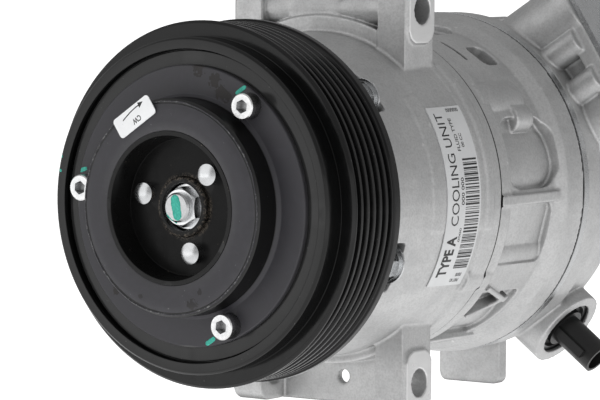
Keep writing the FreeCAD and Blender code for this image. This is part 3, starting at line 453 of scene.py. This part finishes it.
def screw_steel():
    """Zinc-plated socket screws, with painted shade below the rim and inside the socket."""
    paint = Paint("screw_zinc", Metallic=1.0)
    deep = paint.spread(paint.axis("Y"), SCREW_TOP + 0.35 * MM, SCREW_TOP + 2.8 * MM)
    base = paint.mix(paint.spread(paint.noise(1.6, 4.0, 0.8), 0.35, 0.75), grey(0.76, 0.01), grey(0.62, 0.01))
    base = paint.mix(paint.edges(0.52, 0.60), base, grey(0.9))
    # Painted shade: the colour darkens below the screw's rim and down inside the socket.
    base = paint.mix(paint.sum("MULTIPLY", deep, 0.70), base, grey(0.12))
    rough = paint.spread(paint.noise(0.8, 3.0), 0.3, 0.7, 0.22, 0.34)
    return paint.surface(base, rough, paint.bump(paint.noise(0.7), 0.012, 0.5))


def brass():
    paint = Paint("turned_brass", Metallic=1.0)
    base = paint.mix(paint.noise(2.0, 4.0), (0.66, 0.47, 0.22, 1), (0.52, 0.36, 0.17, 1))
    return paint.surface(base, paint.spread(paint.noise(1.0), 0.3, 0.7, 0.25, 0.4),
                         paint.bump(paint.noise(0.4), 0.01, 0.5))


def moulded_plastic():
    paint = Paint("moulded_plastic", IOR=1.46)
    base = paint.mix(paint.noise(5.0), grey(0.009), grey(0.016))
    return paint.surface(base, paint.spread(paint.noise(2.0), 0.3, 0.7, 0.30, 0.42),
                         paint.bump(paint.noise(0.35), 0.015, 0.5))


def label_film(name, level):
    """Satin printed film, a little yellowed and dusty."""
    paint = Paint(name, IOR=1.46)
    cloud = paint.spread(paint.noise(8.0, 4.0), 0.35, 0.7)
    base = paint.mix(cloud, grey(level * 0.94, 0.01), grey(level, 0.01))
    base = paint.mix(paint.spread(paint.noise(0.7, 1.0), 0.77, 0.81, 0.0, 0.35), base, grey(0.35))
    return paint.surface(base, paint.spread(paint.noise(3.0), 0.3, 0.7, 0.34, 0.42),
                         paint.bump(paint.noise(1.5), 0.006, 0.5))


def ink():
    paint = Paint("label_ink", IOR=1.46)
    base = paint.mix(paint.spread(paint.noise(0.5, 3.0), 0.4, 0.75), grey(0.012), grey(0.045))
    return paint.surface(base, paint.spread(paint.noise(1.0), 0.3, 0.7, 0.4, 0.5))


def marker_paint():
    """The inspector's green marking paint, streaky where the pen ran dry."""
    paint = Paint("marker_paint", IOR=1.46)
    streak = paint.spread(paint.noise(0.7, 4.0, 1.5), 0.35, 0.7)
    base = paint.mix(streak, (0.02, 0.36, 0.27, 1), (0.06, 0.55, 0.43, 1))
    return paint.surface(base, paint.spread(paint.noise(0.6), 0.3, 0.7, 0.35, 0.5),
                         paint.bump(paint.noise(0.4), 0.02, 0.5))


LOOKS = {
    "cast_aluminium": cast_aluminium(),
    "pulley_black": black_finish("pulley_black", 0.0035, 0.13, 0.21, 1.6, 0.003, 0.30, 0.035),
    "hub_black": hub_finish(),
    "damper_rubber": rubber_finish(),
    "seal_rubber": black_finish("seal_rubber", 0.010, 0.45, 0.6, 0.5, 0.015),
    "zinc_steel": bright_steel("zinc_steel", 0.74, 0.20, 0.28, 0.015),
    "machined_steel": bright_steel("machined_steel", 0.60, 0.25, 0.38),
    "bearing_steel": bright_steel("bearing_steel", 0.60, 0.16, 0.28),
    "spring_steel": bright_steel("spring_steel", 0.22, 0.30, 0.45),
    "piston_aluminium": bright_steel("piston_aluminium", 0.62, 0.30, 0.42, 0.0),
    "gasket": black_finish("gasket", 0.012, 0.45, 0.6, 0.6, 0.01),
    "brass": brass(),
    "connector_plastic": moulded_plastic(),
    "cage_plastic": black_finish("cage_plastic", 0.05, 0.4, 0.5, 0.5, 0.01),
    "label_white": label_film("sticker_film", 0.92),
}
CUP = cup_finish()
SCREW = screw_steel()
FLASH = torn_rubber()
NUT = bright_steel("nut_zinc", 0.92, 0.26, 0.38, 0.012)
TYPE_FILM = label_film("type_label_film", 0.66)
INK = ink()
MARKER = marker_paint()


def dress_nodes():
    """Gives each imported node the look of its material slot."""
    slots = {part["node"]: part["material_slot"] for part in frame["record"]["subparts"]}
    for name, piece in nodes.items():
        piece.data.materials.clear()
        piece.data.materials.append(LOOKS[slots[name]])
    for name in ("inner_cup", "hub_boss"):
        nodes[name].data.materials[0] = CUP
    nodes["drive_screws"].data.materials[0] = SCREW
    nodes["hub_nut"].data.materials[0] = NUT
    nodes["type_label"].data.materials[0] = TYPE_FILM


dress_nodes()


# ---------------------------------------------------------------- castings with rounded edges
def raised_pad(tree, y_low, y_high, low_degrees, high_degrees, rise_mm):
    """A low closed step on the housing's round wall, sunk 0.8 mm into it."""
    shape = bmesh.new()
    rows, columns = 40, 10
    grid = []
    for i in range(rows + 1):
        turn = math.radians(low_degrees + (high_degrees - low_degrees) * i / rows)
        outward = Vector((math.cos(turn), 0, math.sin(turn)))
        line = []
        for j in range(columns + 1):
            y = (y_low + (y_high - y_low) * j / columns) * MM
            hit = tree.ray_cast(outward * 80 * MM + Vector((0, y, 0)), -outward)
            line.append(shape.verts.new(hit[0] - outward * 0.8 * MM))
        grid.append(line)
    for i in range(rows):
        for j in range(columns):
            shape.faces.new((grid[i][j], grid[i][j + 1], grid[i + 1][j + 1], grid[i + 1][j]))
    thicken(shape, lambda p: Vector((p.x, 0, p.z)).normalized(), (0.8 + rise_mm) * MM)
    mesh = bpy.data.meshes.new("pad")
    shape.to_mesh(mesh)
    shape.free()
    return mesh


def tree_of(piece):
    """The piece's surface, for dropping points onto it."""
    shape = bmesh.new()
    shape.from_mesh(piece.data)
    tree = BVHTree.FromBMesh(shape)
    shape.free()
    return tree


def thicken(shape, lift, thickness):
    """Closes a flat patch into a thin film that rises by this thickness along lift(point)."""
    shape.verts.index_update()
    lower = list(shape.verts)
    upper = [shape.verts.new(v.co + lift(v.co) * thickness) for v in lower]
    rims = [tuple(v.index for v in edge.verts) for edge in shape.edges if edge.is_boundary]
    for face in list(shape.faces):
        shape.faces.new([upper[v.index] for v in reversed(face.verts)])
    for a, b in rims:
        shape.faces.new((lower[a], lower[b], upper[b], upper[a]))
    bmesh.ops.recalc_face_normals(shape, faces=shape.faces)


def casting(node, body, voxel_mm, rounds, keep):
    """Stands for a cast node: its shape rebuilt in small cells and relaxed, which rounds every edge."""
    piece = bpy.data.objects.new(node + "_cast", nodes[node].data.copy())
    bpy.context.scene.collection.objects.link(piece)
    if node == "front_housing":
        tree = tree_of(piece)
        whole = bmesh.new()
        whole.from_mesh(piece.data)
        for pad in HOUSING_PADS:
            whole.from_mesh(raised_pad(tree, *pad))
        whole.to_mesh(piece.data)
        whole.free()
    cells = piece.modifiers.new("cells", "REMESH")
    cells.mode = "VOXEL"
    cells.voxel_size = voxel_mm * MM
    cells.use_smooth_shade = True
    relax = piece.modifiers.new("relax", "SMOOTH")
    relax.factor = 0.5
    relax.iterations = rounds
    thin = piece.modifiers.new("thin", "DECIMATE")
    thin.ratio = keep
    ready = bpy.data.meshes.new_from_object(piece.evaluated_get(bpy.context.evaluated_depsgraph_get()))
    piece.modifiers.clear()
    piece.data = ready
    ready.materials.clear()
    ready.materials.append(LOOKS["cast_aluminium"])
    ready.shade_smooth()
    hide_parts(node)
    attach(piece, body)
    return piece


def soften(node, width_mm, segments=2, angle=38.0):
    """Breaks a turned or pressed piece's sharp edges."""
    piece = nodes[node]
    weld = piece.modifiers.new("weld", "WELD")
    weld.merge_threshold = 0.002 * MM
    bevel = piece.modifiers.new("bevel", "BEVEL")
    bevel.width = width_mm * MM
    bevel.segments = segments
    bevel.limit_method = "ANGLE"
    bevel.angle_limit = math.radians(angle)
    even = piece.modifiers.new("even", "WEIGHTED_NORMAL")
    even.keep_sharp = True


# ---------------------------------------------------------------- printing and paint
def add_piece(name, mesh, look, body):
    piece = bpy.data.objects.new(name, mesh)
    bpy.context.scene.collection.objects.link(piece)
    mesh.materials.clear()
    mesh.materials.append(look)
    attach(piece, body)
    return piece


def word_mesh(text, height, width, bold=0.0):
    """Flat lettering as triangles that fill width by height, with the lower left corner at the origin."""
    curve = bpy.data.curves.new("letters", "FONT")
    curve.body = text
    curve.offset = bold
    curve.resolution_u = 3
    stand = bpy.data.objects.new("letters", curve)
    bpy.context.scene.collection.objects.link(stand)
    mesh = bpy.data.meshes.new_from_object(stand.evaluated_get(bpy.context.evaluated_depsgraph_get()))
    bpy.data.objects.remove(stand)
    shape = bmesh.new()
    shape.from_mesh(mesh)
    xs = [v.co.x for v in shape.verts]
    ys = [v.co.y for v in shape.verts]
    for v in shape.verts:
        v.co = Vector(((v.co.x - min(xs)) / (max(xs) - min(xs)) * width,
                       (v.co.y - min(ys)) / (max(ys) - min(ys)) * height, 0))
    return shape


def bar(shape, u0, u1, v0, v1, step=1.2):
    """A filled rectangle, divided so that it can bend."""
    across = max(1, int((u1 - u0) / step))
    low = [shape.verts.new((u0 + (u1 - u0) * i / across, v0, 0)) for i in range(across + 1)]
    high = [shape.verts.new((u0 + (u1 - u0) * i / across, v1, 0)) for i in range(across + 1)]
    for i in range(across):
        shape.faces.new((low[i], low[i + 1], high[i + 1], high[i]))


def label_print():
    """The type label's printing, laid on the film: u runs up round the housing in mm, v along the shaft."""
    tree = tree_of(nodes["type_label"])
    page = bmesh.new()
    def place(shape, up, towards_rear, upside_down=False):
        """Adds lettering with its lower left corner at this angle in degrees and place along the shaft."""
        start = math.radians(up) * LABEL_RADIUS
        for v in shape.verts:
            if upside_down:
                v.co = Vector((start - v.co.y, towards_rear - v.co.x, 0))
            else:
                v.co = Vector((start + v.co.x, towards_rear - v.co.y, 0))
        mesh = bpy.data.meshes.new("word")
        shape.to_mesh(mesh)
        shape.free()
        page.from_mesh(mesh)

    per_degree = math.radians(1.0) * LABEL_RADIUS
    place(word_mesh("TYPE A", 5.4, 15.2 * per_degree, 0.035), -27.6, 56.9)
    place(word_mesh("COOLING UNIT", 4.2, 40.0 * per_degree, 0.0), -8.6, 56.2)
    place(word_mesh("000 000", 1.7, 9.5 * per_degree, 0.01), -1.5, 59.1)
    place(word_mesh("FLUID TYPE", 1.7, 12.0 * per_degree, 0.01), 17.2, 60.4)
    place(word_mesh("00 CC", 1.5, 5.0 * per_degree, 0.01), 18.5, 63.0)
    place(word_mesh("0000000", 1.4, 7.0, 0.01), 33.0, 67.0, upside_down=True)
    place(word_mesh("PART NO", 1.4, 5.0, 0.01), -28.6, 66.0, upside_down=True)
    place(word_mesh("0000", 1.4, 3.4, 0.01), -26.4, 66.4, upside_down=True)
    place(word_mesh("0000", 1.1, 5.0 * per_degree, 0.01), -14.5, 58.6)
    along = -24.5
    wide = random.Random(7)
    while along < 14.2:
        width = wide.choice((0.22, 0.22, 0.44, 0.66))
        stripe = bmesh.new()
        bar(stripe, 0.0, width * per_degree, 0.0, 8.0)
        place(stripe, along, 67.8)
        along += width + wide.choice((0.24, 0.24, 0.46, 0.66))
    for v in page.verts:
        turn = v.co.x / LABEL_RADIUS
        outward = Vector((math.cos(turn), 0, math.sin(turn)))
        hit = tree.ray_cast(outward * 80 * MM + Vector((0, v.co.y * MM, 0)), -outward)
        v.co = hit[0] + outward * PRINT_LIFT

    thicken(page, lambda p: Vector((p.x, 0, p.z)).normalized(), PRINT_THICK)
    mesh = bpy.data.meshes.new("type_label_print")
    page.to_mesh(mesh)
    page.free()
    add_piece("type_label_print", mesh, INK, "casing")


def sticker_print():
    """The curved arrow and two letters on the direction sticker, read from the left of the hub."""
    tree = tree_of(nodes["direction_label"])
    page = bmesh.new()
    arrow = bmesh.new()
    steps = 18
    for i in range(steps):
        a, b = i / steps, (i + 1) / steps
        line = [(-4.6 + 8.2 * t, 0.5 + 1.7 * math.sin(math.pi * (0.15 + 0.40 * t))) for t in (a, b)]
        corners = [(line[0][0], line[0][1] - 0.18), (line[1][0], line[1][1] - 0.18),
                   (line[1][0], line[1][1] + 0.18), (line[0][0], line[0][1] + 0.18)]
        arrow.faces.new([arrow.verts.new((x, y, 0)) for x, y in corners])
    arrow.faces.new([arrow.verts.new(c) for c in ((3.4, 1.25, 0), (5.6, 2.35, 0), (3.5, 3.1, 0))])
    bmesh.ops.remove_doubles(arrow, verts=arrow.verts, dist=0.01)
    letters = word_mesh("CW", 1.9, 3.6, 0.02)
    for v in letters.verts:
        v.co = Vector((2.2 - v.co.x, -0.4 - v.co.y, 0))
    for part in (arrow, letters):
        mesh = bpy.data.meshes.new("mark")
        part.to_mesh(mesh)
        part.free()
        page.from_mesh(mesh)
    low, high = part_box("direction_label")
    middle = (Vector(low) + Vector(high)) / 2
    for v in page.verts:
        x = v.co.x * math.cos(STICKER_LEAN) - v.co.y * math.sin(STICKER_LEAN)
        z = v.co.x * math.sin(STICKER_LEAN) + v.co.y * math.cos(STICKER_LEAN)
        start = Vector((middle.x + x * MM, -0.08, middle.z + z * MM))
        hit = tree.ray_cast(start, Vector((0, 1, 0)))
        v.co = hit[0] - Vector((0, PRINT_LIFT, 0))
    thicken(page, lambda p: Vector((0, -1, 0)), PRINT_THICK)
    mesh = bpy.data.meshes.new("direction_label_print")
    page.to_mesh(mesh)
    page.free()
    add_piece("direction_label_print", mesh, INK, "rotor")


def brush_stroke(name, targets, start, end, width_mm, seed, body, toward=(0, 1, 0), deck=-0.08):
    """A streak of marking paint from start to end, dropped onto the nearest of the target pieces."""
    trees = [tree_of(nodes[target]) for target in targets]
    shape = bmesh.new()
    loose = random.Random(seed)
    start, end, toward = Vector(start), Vector(end), Vector(toward)
    along = (end - start).normalized()
    side = along.cross(toward).normalized()
    rows, columns = 16, 6
    grid = []
    for i in range(rows + 1):
        t = i / rows
        swell = max(0.08, 1 - abs(2 * t - 1) ** 5) ** 0.5
        half = width_mm * 0.5 * swell * (0.92 + 0.16 * loose.random())
        line = []
        for j in range(columns + 1):
            across = (j / columns - 0.5) * 2 * half * MM
            point = start + (end - start) * t + side * across
            hits = [tree.ray_cast(point + toward * deck, toward) for tree in trees]
            hits = [hit for hit in hits if hit[0] is not None]
            if not hits:
                line.append(None)
                continue
            first = min(hits, key=lambda hit: hit[3])
            skin = 0.05 * (1 - (2 * j / columns - 1) ** 2) + 0.012
            line.append(shape.verts.new(first[0] - toward * skin * MM))
        grid.append(line)
    for i in range(rows):
        for j in range(columns):
            corners = [grid[i][j], grid[i + 1][j], grid[i + 1][j + 1], grid[i][j + 1]]
            if None in corners:
                continue
            drop = [c.co.dot(toward) for c in corners]
            if max(drop) - min(drop) < 0.6 * MM:
                shape.faces.new(corners)
    loners = [v for v in shape.verts if not v.link_faces]
    bmesh.ops.delete(shape, geom=loners, context="VERTS")
    shape.verts.index_update()
    thicken(shape, lambda p: toward, 0.02 * MM)
    mesh = bpy.data.meshes.new(name)
    shape.to_mesh(mesh)
    shape.free()
    mesh.shade_smooth()
    add_piece(name, mesh, MARKER, body)


def moulding_flash():
    """The thin torn lip of rubber left where the mould closed round the damper's outer edge."""
    loose = random.Random(3)
    shape = bmesh.new()
    turns, rings = 420, []
    phase = [loose.uniform(0, 2 * math.pi) for _ in range(4)]
    for i in range(turns):
        a = 2 * math.pi * i / turns
        ragged = 0.5 + 0.5 * noise.noise(Vector((math.cos(a) * 9, math.sin(a) * 9, 2.0)))
        wave = sum(math.sin(a * k + phase[n]) for n, k in enumerate((3, 7, 13, 29))) * 0.05
        tall = 0.10 + 0.42 * ragged ** 2
        centre = FLASH_RADIUS + wave
        ring = []
        for radial, lift in ((-0.28, 0.0), (-0.05, tall), (0.12, tall * 0.9), (0.34, 0.0)):
            r = (centre + radial) * MM
            ring.append(shape.verts.new((math.cos(a) * r, FLASH_FACE - lift * MM, math.sin(a) * r)))
        rings.append(ring)
    for i in range(turns):
        one, two = rings[i], rings[(i + 1) % turns]
        for j in range(4):
            k = (j + 1) % 4
            shape.faces.new((one[j], one[k], two[k], two[j]))
    bmesh.ops.recalc_face_normals(shape, faces=shape.faces)
    mesh = bpy.data.meshes.new("moulding_flash")
    shape.to_mesh(mesh)
    shape.free()
    mesh.shade_smooth()
    add_piece("moulding_flash", mesh, FLASH, "rotor")


for name, body, voxel, rounds, keep in CASTINGS:
    casting(name, body, voxel, rounds, keep)
for name, width in SOFT_EDGES:
    soften(name, width)
label_print()
sticker_print()
for number, (x0, z0, x1, z1, width) in enumerate(STROKES):
    brush_stroke(f"paint_mark_{number + 1}", ["drive_plate", "drive_screws", "pulley"],
                 (x0 * MM, -20 * MM, z0 * MM), (x1 * MM, -20 * MM, z1 * MM), width, 11 + number, "rotor")
for number, (x0, z0, x1, z1) in enumerate(BOLT_DOTS):
    brush_stroke(f"paint_dot_{number + 1}", ["through_bolts", "bolt_washers"],
                 (x0 * MM, BOLT_HEAD_Y, z0 * MM), (x1 * MM, BOLT_HEAD_Y, z1 * MM),
                 2.0, 31 + number, "casing", deck=-0.006)
brush_stroke("paint_mark_bolt", ["shaft"], (-0.7 * MM, SHAFT_END_Y, 4.1 * MM),
             (0.9 * MM, SHAFT_END_Y, -4.1 * MM), 3.6, 21, "rotor")
brush_stroke("paint_mark_smear", ["shaft", "hub_nut"], (-4.6 * MM, SHAFT_END_Y, -2.0 * MM),
             (-1.0 * MM, SHAFT_END_Y, -5.2 * MM), 1.1, 23, "rotor")
moulding_flash()
